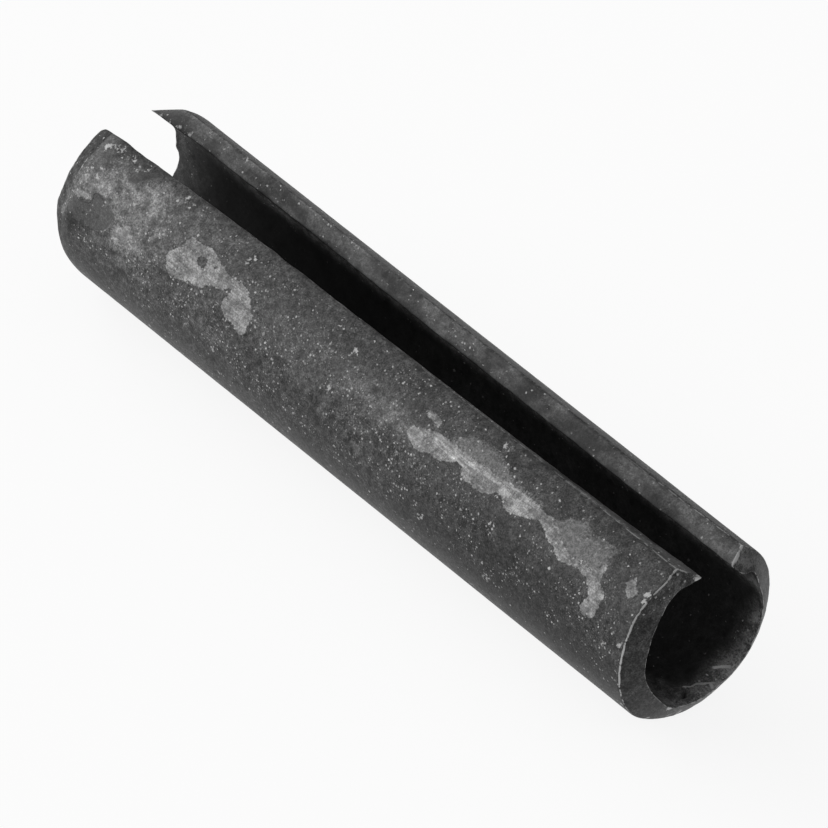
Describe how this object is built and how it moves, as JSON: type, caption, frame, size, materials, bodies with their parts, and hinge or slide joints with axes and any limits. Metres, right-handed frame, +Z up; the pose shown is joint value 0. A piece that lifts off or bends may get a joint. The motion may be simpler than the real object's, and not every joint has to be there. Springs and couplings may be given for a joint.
{
  "type": "slotted spring pin",
  "caption": "Slotted tubular spring pin: a rolled steel strip with an open slot along its length, a long lead-in taper at one end and a short bevel at the other.",
  "frame": {"origin": "on the surface that the pin lies on, under the middle of its length", "axes": "+X along the pin towards its plain end, +Z up through the middle of the slot, +Y towards the slot's back bank"},
  "size_m": [0.065, 0.0146, 0.0139],
  "materials": {
    "spring_steel": "dark phosphated spring steel, satin and finely granular, stained and worn bright at its edges"
  },
  "bodies": {
    "root": {"slotted_spring_pin": "spring_steel"}
  },
  "joints": []
}
